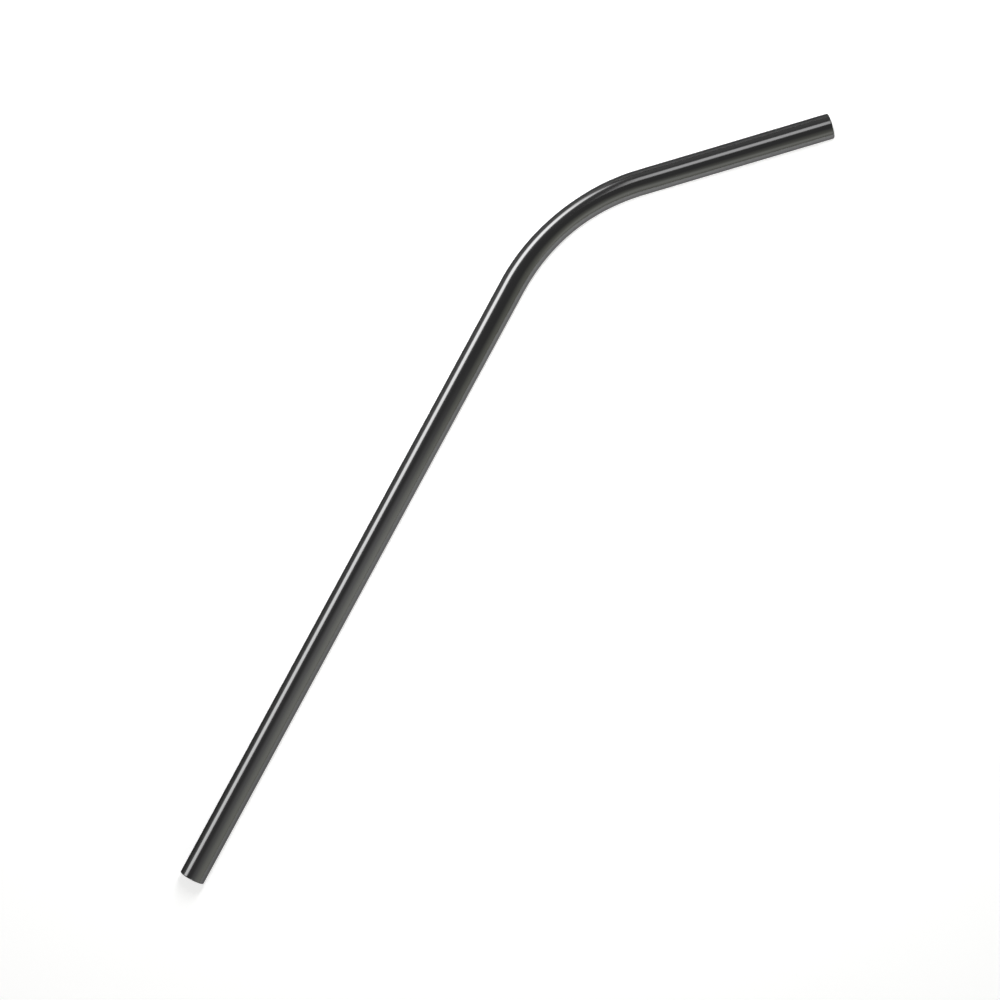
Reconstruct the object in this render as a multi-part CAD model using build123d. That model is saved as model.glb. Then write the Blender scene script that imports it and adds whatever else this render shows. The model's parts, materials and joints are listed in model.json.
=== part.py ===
from build123d import *
from math import pi, radians, sin
import os

# A reusable drinking straw: one length of thin steel tube with a single bend towards the mouth end.
# It lies on its side, as it comes to rest, with the plane of the bend level. The long leg that dips
# into the drink runs along Y, and the bend turns the short mouth leg towards +X.

# Driving dimensions, in millimetres and degrees
tube_diameter = 6.0         # outside, on the straight legs
tube_wall = 0.5
straw_length = 241.0        # along the centreline: the length of tube before it is bent
mouth_leg_length = 46.0     # straight run from the bend to the mouth
bend_radius = 50.0          # to the centreline
bend_angle = 45.0
bend_flattening = 0.25      # bending squeezes the tube by this much at mid bend and spreads it as much upright
lip_round = 0.2             # on the outer and the inner edge of each rim

# Derived sizes
lip_share_of_wall = 0.45    # the two rounds of a rim can't meet, so a thin wall limits them
lip = min(lip_round, lip_share_of_wall * tube_wall)
dip_leg_length = straw_length - mouth_leg_length - bend_radius * radians(bend_angle)
bend_sections = 6           # stretches that the flattening is drawn over, enough to leave the legs smoothly

# The centreline: a straight leg, a tangent arc and a second straight leg
dip_line = Line((0, 0), (0, dip_leg_length))
bend_arc = JernArc(dip_line @ 1, dip_line % 1, bend_radius, -bend_angle)
mouth_line = Line(bend_arc @ 1, bend_arc @ 1 + (bend_arc % 1) * mouth_leg_length)


def across(path, share):
    """The plane square to a path at a share of its length, with its x axis upright."""
    return Plane(origin=path @ share, x_dir=(0, 0, 1), z_dir=path % share)


def bent_rod(radius):
    """A rod along the whole centreline, round on the legs and slightly oval at mid bend."""
    dip_leg = extrude(across(dip_line, 0) * Circle(radius), dip_leg_length)
    sections = []
    for station in range(bend_sections + 1):
        share = station / bend_sections
        squeeze = bend_flattening / 2 * sin(pi * share) ** 2
        sections.append(across(bend_arc, share) * Ellipse(radius + squeeze, radius - squeeze))
    bend = sweep(sections, path=bend_arc, multisection=True)
    mouth_leg = extrude(across(mouth_line, 0) * Circle(radius), mouth_leg_length)
    return dip_leg + bend + mouth_leg


outer_radius = tube_diameter / 2
tube = bent_rod(outer_radius) - bent_rod(outer_radius - tube_wall)
rims = tube.faces().filter_by(GeomType.PLANE)
tube = fillet(rims.edges(), lip)

# The origin is under the middle of the straw's footprint, on the surface that it lies on
box = tube.bounding_box()
straw_tube = Pos(-box.center().X, -box.center().Y, -box.min.Z) * tube

os.makedirs("parts", exist_ok=True)
export_step(straw_tube, "parts/straw_tube.step")
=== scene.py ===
"""A bent steel drinking straw with a dark polished finish, lying on a white table and seen from above."""

import json
import math
from collections import namedtuple

import bmesh
import bpy
from bpy.props import FloatProperty, FloatVectorProperty, IntProperty, PointerProperty
from mathutils import Matrix, Vector


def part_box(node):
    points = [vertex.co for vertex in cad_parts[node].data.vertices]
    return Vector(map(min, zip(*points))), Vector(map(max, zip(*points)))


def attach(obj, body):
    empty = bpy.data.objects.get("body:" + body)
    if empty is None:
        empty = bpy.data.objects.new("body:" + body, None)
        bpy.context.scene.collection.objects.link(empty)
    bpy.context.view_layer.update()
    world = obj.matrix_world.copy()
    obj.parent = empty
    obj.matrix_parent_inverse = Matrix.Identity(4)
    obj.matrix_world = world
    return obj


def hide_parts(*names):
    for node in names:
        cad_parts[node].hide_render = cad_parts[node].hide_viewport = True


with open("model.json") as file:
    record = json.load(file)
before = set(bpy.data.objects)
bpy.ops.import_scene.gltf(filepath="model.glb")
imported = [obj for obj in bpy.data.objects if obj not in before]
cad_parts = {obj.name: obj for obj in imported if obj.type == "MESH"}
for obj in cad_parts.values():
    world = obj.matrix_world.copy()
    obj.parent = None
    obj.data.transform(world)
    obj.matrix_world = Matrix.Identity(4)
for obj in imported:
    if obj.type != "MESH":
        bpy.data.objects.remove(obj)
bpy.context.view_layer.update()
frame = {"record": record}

bl_info = {
    "name": "Bent Drinking Straw",
    "version": (1, 0, 0),
    "blender": (4, 5, 0),
    "location": "3D View > Sidebar > Straw",
    "description": "Bends a polished steel tube into a drinking straw and lays it on a white table",
    "category": "Add Mesh",
}


def mount(name):
    """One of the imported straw's mounts, which state its legs and their bore."""
    for stated in frame["record"]["mounts"]:
        if stated["name"] == name:
            return stated
    raise ValueError(f"the packed straw states no mount named {name}")


# The round of a lip, in metres, which no mount states
lip = 0.0002
# The straw's other sizes, in metres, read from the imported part
dip_leg = mount("dip_leg_outside")
mouth_leg = mount("mouth_leg_outside")
box_low, box_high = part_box("straw_tube")
outside = dip_leg["dims"]["r_mm"] / 1000
inside = mount("dip_leg_bore")["dims"]["r_mm"] / 1000
dip_length = dip_leg["dims"]["length_mm"] / 1000 + lip
mouth_length = mouth_leg["dims"]["length_mm"] / 1000 + lip
dip_axis = Vector(dip_leg["pos_m"])
turn = (-Vector(dip_leg["axis"])).angle(Vector(mouth_leg["axis"]))
# The two legs' axes meet in the corner that the bend cuts off
corner = mouth_leg["pos_m"][1] - (mouth_leg["pos_m"][0] - dip_axis.x) / math.tan(turn)
radius_of_bend = (corner - box_low.y - dip_length) / math.tan(turn / 2)
flattening = box_high.z - box_low.z - 2 * outside


class StrawTubeSettings(bpy.types.PropertyGroup):
    outside_radius: FloatProperty(
        name="Outside Radius", description="Of the tube on its straight legs",
        default=outside, min=0.001, unit="LENGTH", precision=5)
    bore_radius: FloatProperty(
        name="Bore Radius", description="Of the hole on the straight legs",
        default=inside, min=0.0005, unit="LENGTH", precision=5)
    dip_length: FloatProperty(
        name="Dip Leg", description="Straight run from the lower rim to the bend",
        default=dip_length, min=0.01, unit="LENGTH", precision=5)
    mouth_length: FloatProperty(
        name="Mouth Leg", description="Straight run from the bend to the mouth rim",
        default=mouth_length, min=0.01, unit="LENGTH", precision=5)
    bend_radius: FloatProperty(
        name="Bend Radius", description="To the middle of the tube",
        default=radius_of_bend, min=0.01, unit="LENGTH", precision=5)
    bend_angle: FloatProperty(
        name="Bend Angle", description="How far the mouth leg turns from the dip leg",
        default=turn, min=0.01, max=math.pi / 2, subtype="ANGLE")
    flattening: FloatProperty(
        name="Flattening", description="How much higher and narrower the tube is at mid bend than on a leg",
        default=flattening, min=0.0, unit="LENGTH", precision=5)
    lip_round: FloatProperty(
        name="Lip Round", description="On the outer and the inner edge of each rim",
        default=lip, min=0.00001, unit="LENGTH", precision=5)
    steps_around: IntProperty(
        name="Steps Around", description="Faces round the tube", default=96, min=24, max=160)
    leg_ring: FloatProperty(
        name="Ring on Legs", description="Length of a face on the straight legs",
        default=0.004, min=0.001, unit="LENGTH", precision=5)
    bend_ring: FloatProperty(
        name="Ring in Bend", description="Length of a face in the bend",
        default=0.0004, min=0.0002, unit="LENGTH", precision=5)
    coating_dark: FloatVectorProperty(
        name="Coating", description="Reflected colour of the dark finish in its streaks",
        default=(0.116, 0.116, 0.117), subtype="COLOR", min=0.0, max=1.0)
    coating_light: FloatVectorProperty(
        name="Coating, Light", description="Reflected colour of the dark finish between its streaks",
        default=(0.132, 0.132, 0.132), subtype="COLOR", min=0.0, max=1.0)
    bare_steel: FloatVectorProperty(
        name="Bare Steel", description="Reflected colour deep in the bore, where the finish doesn't reach",
        default=(0.62, 0.62, 0.61), subtype="COLOR", min=0.0, max=1.0)


class StrawStageSettings(bpy.types.PropertyGroup):
    lens: FloatProperty(
        name="Lens", description="Focal length in millimetres on a 36 mm sensor", default=97.2, min=20.0)
    camera_height: FloatProperty(
        name="Camera Height", description="Over the table", default=0.62849, min=0.1, unit="LENGTH")
    camera_aim: FloatVectorProperty(
        name="Camera Aim", description="The point of the table under the camera",
        size=2, default=(-0.002037, -0.001872), unit="LENGTH", precision=6)
    camera_roll: FloatProperty(
        name="Camera Roll", description="Turn of the picture on the table",
        default=math.radians(28.439), subtype="ANGLE")
    table_color: FloatVectorProperty(
        name="Table", description="Colour of the table top",
        default=(0.6, 0.6, 0.597), subtype="COLOR", min=0.0, max=1.0)
    table_lift: FloatProperty(
        name="Table Lift", description="Light that whitens the table in the picture and in the metal",
        default=0.685, min=0.0, max=1.0)
    table_lamp: FloatProperty(
        name="Table Lamp", description="Radiance of the long narrow lamp that throws the shadow at the foot",
        default=26.5, min=0.0)
    long_box: FloatProperty(
        name="Long Soft Box", description="Radiance of the light that draws the bright line on the dip leg",
        default=6.4, min=0.0)
    short_box: FloatProperty(
        name="Short Soft Box", description="Radiance of the light that draws the line on the mouth leg",
        default=2.5, min=0.0)
    side_box: FloatProperty(
        name="Side Soft Box", description="Radiance of the light that greys the inner side of the dip leg",
        default=0.43, min=0.0)
    end_boxes: FloatProperty(
        name="End Soft Boxes", description="Radiance of the lights that draw a line in views from the sides",
        default=3.2, min=0.0)
    bright_wall: FloatVectorProperty(
        name="Bright Wall", description="Wall of the room on the inner side of the bend",
        default=(0.727, 0.74, 0.64), subtype="COLOR", min=0.0, max=1.0)
    ceiling: FloatVectorProperty(
        name="Ceiling", description="Dim ceiling of the room",
        default=(0.19, 0.19, 0.19), subtype="COLOR", min=0.0, max=1.0)
    far_wall: FloatVectorProperty(
        name="Far Wall", description="Wall of the room on the outer side of the bend",
        default=(0.45, 0.45, 0.45), subtype="COLOR", min=0.0, max=1.0)
    bright_side: FloatProperty(
        name="Bright Side", description="Azimuth of the bright wall",
        default=math.radians(-17.0), subtype="ANGLE")
    card_color: FloatVectorProperty(
        name="Grey Card", description="Colour of the card that darkens the outer edge of the metal",
        default=(0.45, 0.45, 0.45), subtype="COLOR", min=0.0, max=1.0)
    card_width: FloatProperty(
        name="Card Width", description="From the tube's axis outwards", default=0.4, min=0.01, unit="LENGTH")


def feed(tree, socket, value):
    """Gives a socket a number, a colour or the output of another node."""
    if isinstance(value, bpy.types.NodeSocket):
        tree.links.new(value, socket)
    else:
        socket.default_value = value


def add_node(tree, kind, inputs, **settings):
    """A new node with its own settings and with what goes into its inputs."""
    node = tree.nodes.new(kind)
    for name, value in settings.items():
        setattr(node, name, value)
    for name, value in inputs.items():
        feed(tree, node.inputs[name], value)
    return node


def compute(tree, operation, *values):
    """The result of a Math node over numbers and the outputs of other nodes."""
    return add_node(tree, "ShaderNodeMath", dict(enumerate(values)), operation=operation).outputs[0]


def mix(tree, kind, share, start, end):
    """The result of a Mix node, from start to end by a share."""
    inputs = {"Factor": share, "A": start, "B": end}
    return add_node(tree, "ShaderNodeMix", inputs, data_type=kind).outputs["Result"]


def spread(tree, value, low, high, to_low, to_high, kind="LINEAR"):
    """The result of a Map Range node, which takes low and high of a value to other numbers."""
    inputs = {"Value": value, "From Min": low, "From Max": high, "To Min": to_low, "To Max": to_high}
    return add_node(tree, "ShaderNodeMapRange", inputs, interpolation_type=kind).outputs["Result"]


def new_finish(name):
    """A new material, its node tree and its shader."""
    finish = bpy.data.materials.new(name)
    finish.use_nodes = True
    return finish, finish.node_tree, finish.node_tree.nodes["Principled BSDF"]


def object_from(bm, name, finish):
    """An object with a finished mesh and its material."""
    mesh = bpy.data.meshes.new(name)
    bm.to_mesh(mesh)
    bm.free()
    mesh.materials.append(finish)
    return bpy.data.objects.new(name, mesh)


FULL_TURN = 2 * math.pi
# Distances in metres: between doubles of the spin, and between places on the tube that count as one
DOUBLES = 1e-7
SAME_PLACE = 1e-6
# Decimal places of a metre that tell the rings of the bend apart
RING_DIGITS = 7
# Faces across the round of a lip, and length of the first ring beside a rim in rounds of the lip
LIP_SEGMENTS = 6
RIM_RING = 1.5


def from_axis(point):
    """How far a point is from the axis of the straight tube."""
    return math.hypot(point.x, point.z)


def runs_between(edge, start, end):
    """Whether an edge runs along the straight tube from one place to the other."""
    low, high = sorted(vert.co.y for vert in edge.verts)
    return abs(low - start) < SAME_PLACE and abs(high - end) < SAME_PLACE


def on_lip(edge, length):
    """Whether an edge runs round one of the tube's two open ends."""
    start, end = (vert.co for vert in edge.verts)
    at_rim = all(min(abs(point.y), abs(point.y - length)) < SAME_PLACE for point in (start, end))
    return at_rim and abs(from_axis(start) - from_axis(end)) < SAME_PLACE


def put_in_order(bm):
    """Puts the faces in the order of their corners, because the operators leave it to chance."""
    bm.verts.index_update()
    ordered = sorted(bm.faces, key=lambda face: sorted(vert.index for vert in face.verts))
    for index, face in enumerate(ordered):
        face.index = index
    bm.faces.sort()


def straight_tube(tube):
    """A straight tube along +Y from the origin, with rounded rims, as it is before it is bent."""
    bend_length = tube.bend_radius * tube.bend_angle
    bend_end = tube.dip_length + bend_length
    length = bend_end + tube.mouth_length
    rim_ring = RIM_RING * tube.lip_round
    stations = (0, rim_ring, tube.dip_length, bend_end, length - rim_ring, length)
    rings = (rim_ring, tube.leg_ring, tube.bend_ring, tube.leg_ring, rim_ring)
    bm = bmesh.new()
    section = [(tube.bore_radius, along) for along in stations]
    section += [(tube.outside_radius, along) for along in reversed(stations)]
    corners = [bm.verts.new((radius, along, 0)) for radius, along in section]
    for start, end in zip(corners, corners[1:] + corners[:1]):
        bm.edges.new((start, end))
    bmesh.ops.spin(
        bm, geom=bm.verts[:] + bm.edges[:], cent=(0, 0, 0), axis=(0, 1, 0), dvec=(0, 0, 0), angle=FULL_TURN,
        steps=tube.steps_around, use_merge=True, use_normal_flip=False, use_duplicate=False)
    bmesh.ops.remove_doubles(bm, verts=bm.verts[:], dist=DOUBLES)
    bmesh.ops.recalc_face_normals(bm, faces=bm.faces[:])
    for start, end, ring in zip(stations, stations[1:], rings):
        cuts = round((end - start) / ring) - 1
        if cuts > 0:
            run = [edge for edge in bm.edges if runs_between(edge, start, end)]
            bmesh.ops.subdivide_edges(bm, edges=run, cuts=cuts, use_grid_fill=True)
    lips = [edge for edge in bm.edges if on_lip(edge, length)]
    bmesh.ops.bevel(
        bm, geom=lips, offset=tube.lip_round, offset_type="OFFSET", segments=LIP_SEGMENTS, profile=0.5,
        affect="EDGES", material=-1, clamp_overlap=True)
    put_in_order(bm)
    return bm, length


# The map for baking: the margin at its two sides, and its bands, each with a start and a width up the map
MAP_MARGIN = 0.01
OUTSIDE_BAND = (0.01, 0.51)
BORE_BAND = (0.54, 0.37)
DIP_RIM_BAND = (0.93, 0.025)
MOUTH_RIM_BAND = (0.965, 0.025)


def unroll(bm, tube, length):
    """A map for baking: the outside and the bore as bands along the tube, and each rim as a narrow one."""
    unrolled = bm.loops.layers.uv.new("OFBake")
    middle = (tube.bore_radius + tube.outside_radius) / 2
    rim_width = tube.outside_radius - tube.bore_radius + 2 * tube.lip_round
    for face in bm.faces:
        centre = face.calc_center_median()
        facing = math.atan2(centre.z, centre.x)
        outer = from_axis(centre) > middle
        on_rim = min(centre.y, length - centre.y) <= tube.lip_round
        if on_rim:
            start, width = DIP_RIM_BAND if centre.y < length / 2 else MOUTH_RIM_BAND
        else:
            start, width = OUTSIDE_BAND if outer else BORE_BAND
        for loop in face.loops:
            point = loop.vert.co
            angle = math.atan2(point.z, point.x)
            angle += FULL_TURN * round((facing - angle) / FULL_TURN)
            around = angle / FULL_TURN + 0.5
            if on_rim:
                depth = min(point.y, length - point.y)
                across = from_axis(point) - tube.bore_radius + (depth if outer else -depth)
                right, up = around, (across + tube.lip_round) / rim_width
            else:
                right, up = point.y / length, around
            loop[unrolled].uv = (MAP_MARGIN + (1 - 2 * MAP_MARGIN) * right, start + width * up)


def bend_tube(bm, tube):
    """Bends the straight tube towards +X. The bend squeezes it a little flat, most at its middle."""
    bend_length = tube.bend_radius * tube.bend_angle
    middle = (tube.bore_radius + tube.outside_radius) / 2
    centre = Vector((tube.bend_radius, tube.dip_length, 0))
    rings = {}
    for vert in bm.verts:
        past = vert.co.y - tube.dip_length
        if past > 0:
            key = (round(min(past, bend_length), RING_DIGITS), from_axis(vert.co) > middle)
            rings.setdefault(key, []).append(vert)
    for (past, outer), verts in rings.items():
        share = past / bend_length
        radius = tube.outside_radius if outer else tube.bore_radius
        squeeze = tube.flattening / 2 * math.sin(math.pi * share) ** 2 / radius
        bmesh.ops.scale(bm, vec=(1 - squeeze, 1, 1 + squeeze), verts=verts)
        bmesh.ops.translate(bm, vec=(0, -past, 0), verts=verts)
        turned = Matrix.Rotation(-tube.bend_angle * share, 3, "Z")
        bmesh.ops.rotate(bm, cent=centre, matrix=turned, verts=verts)


# The finish. Drawing and polishing leave lines a tenth of a millimetre apart and far longer than that,
# and the coating is slowly and broadly uneven. Scales are per metre, along the tube in the middle.
LINE_SCALE = (9000.0, 55.0, 9000.0)
LINE_DETAIL = 2.0
CLOUD_SCALE = (420.0, 70.0, 420.0)
CLOUD_DETAIL = 3.0
# How much of the coating's shade follows the lines
LINE_SHARE = 0.4
# Metres from a rim between which the bore turns bare, and how ragged that border is
BARE_FROM = 0.002
BARE_TO = 0.006
RAGGED = 0.004
# A place counts as bore up to this share of the lip's round past the bore's radius
BORE_EDGE = 0.2
# Roughness of the coated outside, for the middle of the lines' range, and of the drawn steel in the bore
POLISHED = (0.11, 0.17)
LINES_RANGE = (0.25, 0.75)
DRAWN = (0.6, 0.85)
# Tint of what the metal reflects at a glancing angle
EDGE_TINT = 0.35
# The lines' depth in metres, and how strongly it shows
LINE_DEPTH = 0.000002
LINE_STRENGTH = 0.1


def noise_along(tree, straight, scale, detail):
    """Noise on the straight tube, drawn out along it by its scale."""
    drawn_out = add_node(tree, "ShaderNodeMapping", {"Vector": straight, "Scale": scale})
    inputs = {"Vector": drawn_out.outputs["Vector"], "Scale": 1.0, "Detail": detail}
    return add_node(tree, "ShaderNodeTexNoise", inputs, noise_dimensions="3D").outputs["Fac"]


def bare_share(tree, tube, length, straight, cloud):
    """Where the bore is bare: the coating fades out a few millimetres from each rim."""
    place = add_node(tree, "ShaderNodeSeparateXYZ", {"Vector": straight}).outputs
    squares = [compute(tree, "MULTIPLY", place[axis], place[axis]) for axis in "XZ"]
    bore_edge = tube.bore_radius + BORE_EDGE * tube.lip_round
    in_bore = compute(tree, "LESS_THAN", compute(tree, "ADD", *squares), bore_edge ** 2)
    depth = compute(tree, "MINIMUM", place["Y"], compute(tree, "SUBTRACT", length, place["Y"]))
    ragged = compute(tree, "MULTIPLY_ADD", cloud, RAGGED, depth)
    fade = spread(tree, ragged, BARE_FROM, BARE_TO, 0.0, 1.0, "SMOOTHSTEP")
    return compute(tree, "MULTIPLY", in_bore, fade)


def dark_polished_steel(tube, length):
    """A dark, thin metal finish over polished steel, with fine lines along the tube and a bare bore."""
    finish, tree, shader = new_finish("dark_polished_steel")
    shader.inputs["Metallic"].default_value = 1.0
    shader.inputs["Specular Tint"].default_value = (EDGE_TINT, EDGE_TINT, EDGE_TINT, 1.0)

    # Places on the tube as it was before it was bent, so that every line follows it round the bend
    places = add_node(tree, "ShaderNodeAttribute", {}, attribute_type="GEOMETRY", attribute_name="straight")
    straight = places.outputs["Vector"]
    lines = noise_along(tree, straight, LINE_SCALE, LINE_DETAIL)
    cloud = noise_along(tree, straight, CLOUD_SCALE, CLOUD_DETAIL)
    bare = bare_share(tree, tube, length, straight, cloud)

    # Colour: the coating is a shade darker in some of its lines
    shades = mix(tree, "FLOAT", LINE_SHARE, cloud, lines)
    coating = mix(tree, "RGBA", shades, (*tube.coating_dark, 1.0), (*tube.coating_light, 1.0))
    feed(tree, shader.inputs["Base Color"], mix(tree, "RGBA", bare, coating, (*tube.bare_steel, 1.0)))

    # Gloss: nearly a mirror outside, duller drawn steel deep in the bore
    polish = spread(tree, lines, *LINES_RANGE, *POLISHED)
    drawn = spread(tree, lines, 0.0, 1.0, *DRAWN)
    feed(tree, shader.inputs["Roughness"], mix(tree, "FLOAT", bare, polish, drawn))

    inputs = {"Strength": LINE_STRENGTH, "Distance": LINE_DEPTH, "Height": lines}
    feed(tree, shader.inputs["Normal"], add_node(tree, "ShaderNodeBump", inputs).outputs["Normal"])
    return finish


class STRAW_OT_build_tube(bpy.types.Operator):
    """Make the tube straight, round its rims, bend it and give it its finish"""
    bl_idname = "straw.build_tube"
    bl_label = "Build Straw Tube"

    def execute(self, context):
        tube = context.scene.straw_tube
        if tube.outside_radius - tube.bore_radius <= 2 * tube.lip_round:
            raise ValueError("the wall is too thin for the rounds of its two lips")
        bm, length = straight_tube(tube)
        unroll(bm, tube, length)
        straight = bm.verts.layers.float_vector.new("straight")
        for vert in bm.verts:
            vert[straight] = vert.co
        bend_tube(bm, tube)
        bmesh.ops.translate(bm, vec=(dip_axis.x, box_low.y, dip_axis.z), verts=bm.verts[:])
        for face in bm.faces:
            face.smooth = True
        piece = object_from(bm, "bent_straw_tube", dark_polished_steel(tube, length))
        context.scene.collection.objects.link(piece)
        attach(piece, "root")
        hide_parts("straw_tube")
        return {"FINISHED"}


# Half the side of the table in metres, and the width of the camera's sensor in millimetres
TABLE_HALF = 20.0
SENSOR = 36.0
# How far the card lies over the table and reaches past each rim, in metres, and its steps round the bend
CARD_LIFT = 0.0001
CARD_PAST_RIM = 0.05
CARD_STEPS = 24
# From the far wall at 0 to the bright wall at 1, the ceiling lies between these shares of the room
CEILING_FROM = 0.275
CEILING_TO = 0.69
# The table lamp, in metres
LAMP_PLACE = (-0.04, 0.1, 0.2)
LAMP_SIZE = (0.03, 0.2)

# A soft box has a stage setting for its radiance, two ends, a width and a point that it faces, in metres,
# and its brightness along it and across it as stops of place and share
SoftBox = namedtuple("SoftBox", "name radiance start end width facing along across")
SOFT_EDGES = ((0.0, 0.0), (0.22, 1.0), (0.78, 1.0), (1.0, 0.0))
SOFT_ENDS = ((0.0, 0.0), (0.2, 1.0), (0.8, 1.0), (1.0, 0.0))
SOFT_BOXES = (
    SoftBox(
        "long_soft_box", "long_box", start=(-0.623, -0.28, 0.342), end=(-0.623, 0.60, 0.153), width=0.44,
        facing=(-0.023, 0.03, 0.005),
        along=((0.0, 0.52), (0.2, 0.68), (0.31, 0.84), (0.45, 0.98), (0.62, 1.0), (0.74, 0.9), (0.9, 0.55),
               (1.0, 0.05)),
        across=SOFT_EDGES),
    SoftBox(
        "short_soft_box", "short_box", start=(-0.2011, 0.2889, 0.53), end=(-0.09, 0.40, 0.53), width=0.32,
        facing=(0.0055, 0.092, 0.006), along=((0.0, 0.0), (0.26, 1.0), (1.0, 1.0)), across=SOFT_EDGES),
    SoftBox(
        "side_soft_box", "side_box", start=(-0.063, -0.189, 0.12), end=(1.6, -0.189, 0.12), width=0.478,
        facing=(0.768, -0.189, 0.0), along=((0.0, 0.0), (0.049, 1.0), (0.2225, 0.93), (1.0, 0.93)),
        across=((0.0, 0.0), (0.5, 0.45), (0.82, 1.0), (0.975, 0.0))),
    SoftBox(
        "foot_soft_box", "end_boxes", start=(0.0, -0.62, 1.0), end=(0.0, -1.25, 0.33), width=0.5,
        facing=(0.0, 0.0, 0.0), along=SOFT_ENDS, across=SOFT_EDGES),
    SoftBox(
        "mouth_soft_box", "end_boxes", start=(0.0, 0.85, 0.95), end=(0.0, 1.35, 0.2), width=0.5,
        facing=(0.0, 0.0, 0.0), along=SOFT_ENDS, across=SOFT_EDGES),
)


def white_table(stage):
    """The table's finish: pale and matt, with a lift that whitens it in the picture and in reflections."""
    finish, tree, shader = new_finish("white_table")
    tree.nodes.remove(shader)
    matt = add_node(tree, "ShaderNodeBsdfDiffuse", {"Color": (*stage.table_color, 1.0)})
    rays = add_node(tree, "ShaderNodeLightPath", {}).outputs
    seen = compute(tree, "MAXIMUM", rays["Is Camera Ray"], rays["Is Glossy Ray"])
    seen = compute(tree, "MAXIMUM", seen, rays["Is Transmission Ray"])
    strength = compute(tree, "MULTIPLY", seen, stage.table_lift)
    lift = add_node(tree, "ShaderNodeEmission", {"Strength": strength})
    lifted = add_node(tree, "ShaderNodeAddShader", {0: matt.outputs[0], 1: lift.outputs[0]})
    feed(tree, tree.nodes["Material Output"].inputs["Surface"], lifted.outputs[0])
    return finish


def table_top(stage):
    """A flat table that reaches far past the picture."""
    bm = bmesh.new()
    bmesh.ops.create_grid(bm, x_segments=1, y_segments=1, size=TABLE_HALF)
    return object_from(bm, "table_top", white_table(stage))


def matt_grey(stage):
    """The card's finish."""
    finish, _, shader = new_finish("matt_grey")
    shader.inputs["Base Color"].default_value = (*stage.card_color, 1.0)
    shader.inputs["Roughness"].default_value = 1.0
    shader.inputs["Specular IOR Level"].default_value = 0.0
    return finish


def grey_card(tube, stage):
    """A card that lies on the table along the whole outer side of the straw, hidden from the camera.

    The metal shows it, and so has a dark edge on that side.
    """
    bend_start = Vector((dip_axis.x, box_low.y + tube.dip_length, CARD_LIFT))
    bend_centre = bend_start + Vector((tube.bend_radius, 0, 0))
    bm = bmesh.new()
    near = bm.verts.new(bend_start - Vector((tube.outside_radius, 0, 0)))
    far = bm.verts.new(bend_start - Vector((stage.card_width, 0, 0)))
    first = bm.edges.new((near, far))
    swept = bmesh.ops.spin(
        bm, geom=[near, far, first], cent=bend_centre, axis=(0, 0, 1), dvec=(0, 0, 0),
        angle=-tube.bend_angle, steps=CARD_STEPS, use_merge=False,
        use_normal_flip=False, use_duplicate=False)
    last = [part for part in swept["geom_last"] if isinstance(part, bmesh.types.BMEdge)]
    dip_way = Vector((0, -1, 0))
    mouth_way = Vector((math.sin(tube.bend_angle), math.cos(tube.bend_angle), 0))
    legs = (([first], dip_way, tube.dip_length), (last, mouth_way, tube.mouth_length))
    for edges, way, leg in legs:
        grown = bmesh.ops.extrude_edge_only(bm, edges=edges)
        moved = [part for part in grown["geom"] if isinstance(part, bmesh.types.BMVert)]
        bmesh.ops.translate(bm, vec=way * (leg + CARD_PAST_RIM), verts=moved)
    card = object_from(bm, "grey_card", matt_grey(stage))
    card.visible_camera = False
    card.visible_diffuse = False
    card.visible_shadow = False
    return card


def set_stops(ramp, stops):
    """Gives a colour ramp its stops, each a position and a colour."""
    points = ramp.color_ramp.elements
    while len(points) < len(stops):
        points.new(1.0)
    for point, (position, color) in zip(points, stops):
        point.position = position
        point.color = (*color, 1.0)


def room(stage):
    """A dim room with a bright wall on one side and a fainter one across from it."""
    world = bpy.data.worlds.new("room")
    world.use_nodes = True
    tree = world.node_tree
    looking = add_node(tree, "ShaderNodeTexCoord", {}).outputs["Generated"]
    bright_way = (math.cos(stage.bright_side), math.sin(stage.bright_side), 0.0)
    towards = add_node(tree, "ShaderNodeVectorMath", {0: looking, 1: bright_way}, operation="DOT_PRODUCT")
    share = spread(tree, towards.outputs["Value"], -1.0, 1.0, 0.0, 1.0)
    walls = add_node(tree, "ShaderNodeValToRGB", {"Fac": share})
    set_stops(walls, (
        (0.0, stage.far_wall), (CEILING_FROM, stage.ceiling),
        (CEILING_TO, stage.ceiling), (1.0, stage.bright_wall)))
    feed(tree, tree.nodes["Background"].inputs["Color"], walls.outputs["Color"])
    return world


def area_lamp(name, length, width, radiance):
    """A rectangular lamp that is as bright per area whatever its size."""
    lamp = bpy.data.lights.new(name, "AREA")
    lamp.shape = "RECTANGLE"
    lamp.size = length
    lamp.size_y = width
    lamp.energy = radiance * math.pi * length * width
    return lamp


def hang_table_lamp(collection, stage):
    """Hangs the lamp that lights the table from above and that the metal doesn't show."""
    holder = bpy.data.objects.new("table_lamp", area_lamp("table_lamp", *LAMP_SIZE, stage.table_lamp))
    holder.location = LAMP_PLACE
    holder.visible_glossy = False
    collection.objects.link(holder)


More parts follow.
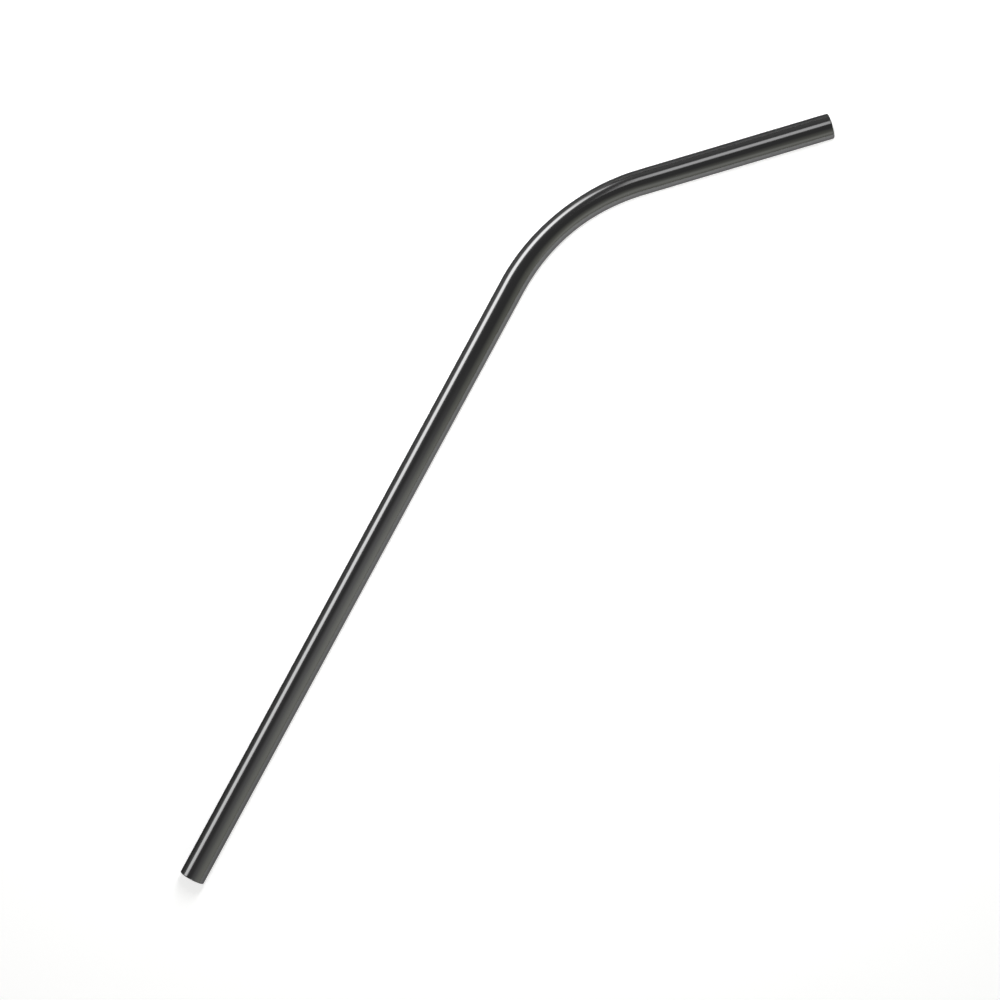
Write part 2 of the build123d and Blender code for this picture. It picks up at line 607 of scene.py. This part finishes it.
def hang_soft_box(collection, box, radiance):
    """Hangs a soft box that the metal shows and that leaves the table as it is."""
    start, end = Vector(box.start), Vector(box.end)
    lamp = area_lamp(box.name, (end - start).length, box.width, radiance)
    lamp.use_nodes = True
    tree = lamp.node_tree
    place = add_node(tree, "ShaderNodeNewGeometry", {}).outputs["Parametric"]
    split = add_node(tree, "ShaderNodeSeparateXYZ", {"Vector": place}).outputs
    shares = []
    for stops, axis in ((box.along, "X"), (box.across, "Y")):
        ramp = add_node(tree, "ShaderNodeValToRGB", {"Fac": split[axis]})
        ramp.color_ramp.interpolation = "EASE"
        set_stops(ramp, [(position, (share, share, share)) for position, share in stops])
        shares.append(ramp.outputs["Color"])
    feed(tree, tree.nodes["Emission"].inputs["Strength"], compute(tree, "MULTIPLY", *shares))
    middle = (start + end) / 2
    along = (end - start).normalized()
    back = middle - Vector(box.facing)
    back = (back - along * back.dot(along)).normalized()
    turned = Matrix((along, back.cross(along), back)).transposed()
    holder = bpy.data.objects.new(box.name, lamp)
    holder.matrix_world = Matrix.Translation(middle) @ turned.to_4x4()
    holder.visible_diffuse = False
    collection.objects.link(holder)


def camera_above(stage):
    """A camera that looks straight down on the table."""
    lens = bpy.data.cameras.new("camera_above")
    lens.lens = stage.lens
    lens.sensor_width = SENSOR
    camera = bpy.data.objects.new("camera_above", lens)
    camera.location = (*stage.camera_aim, stage.camera_height)
    camera.rotation_euler = (0.0, 0.0, stage.camera_roll)
    return camera


class STRAW_OT_build_stage(bpy.types.Operator):
    """Lay the white table, light it softly and stand the camera over it"""
    bl_idname = "straw.build_stage"
    bl_label = "Build Table, Lights and Camera"

    def execute(self, context):
        scene = context.scene
        stage = scene.straw_stage
        collection = scene.collection
        table = table_top(stage)
        collection.objects.link(table)
        card = grey_card(scene.straw_tube, stage)
        collection.objects.link(card)

        scene.world = room(stage)
        hang_table_lamp(collection, stage)
        for box in SOFT_BOXES:
            hang_soft_box(collection, box, getattr(stage, box.radiance))

        scene.camera = camera_above(stage)
        collection.objects.link(scene.camera)
        scene.view_settings.view_transform = "Standard"
        return {"FINISHED"}


class STRAW_PT_panel(bpy.types.Panel):
    """The straw's sizes and finish, and the table that it lies on"""
    bl_idname = "STRAW_PT_panel"
    bl_label = "Bent Drinking Straw"
    bl_space_type = "VIEW_3D"
    bl_region_type = "UI"
    bl_category = "Straw"

    def draw(self, context):
        groups = (
            (context.scene.straw_tube, STRAW_OT_build_tube),
            (context.scene.straw_stage, STRAW_OT_build_stage),
        )
        for group, operator in groups:
            column = self.layout.column(align=True)
            for name in group.__annotations__:
                column.prop(group, name)
            column.operator(operator.bl_idname)


classes = (StrawTubeSettings, StrawStageSettings, STRAW_OT_build_tube, STRAW_OT_build_stage, STRAW_PT_panel)


def register():
    for cls in classes:
        bpy.utils.register_class(cls)
    bpy.types.Scene.straw_tube = PointerProperty(type=StrawTubeSettings)
    bpy.types.Scene.straw_stage = PointerProperty(type=StrawStageSettings)


def unregister():
    del bpy.types.Scene.straw_stage
    del bpy.types.Scene.straw_tube
    for cls in reversed(classes):
        bpy.utils.unregister_class(cls)


def main():
    register()
    bpy.ops.straw.build_tube()
    bpy.ops.straw.build_stage()


if __name__ == "__main__":
    main()
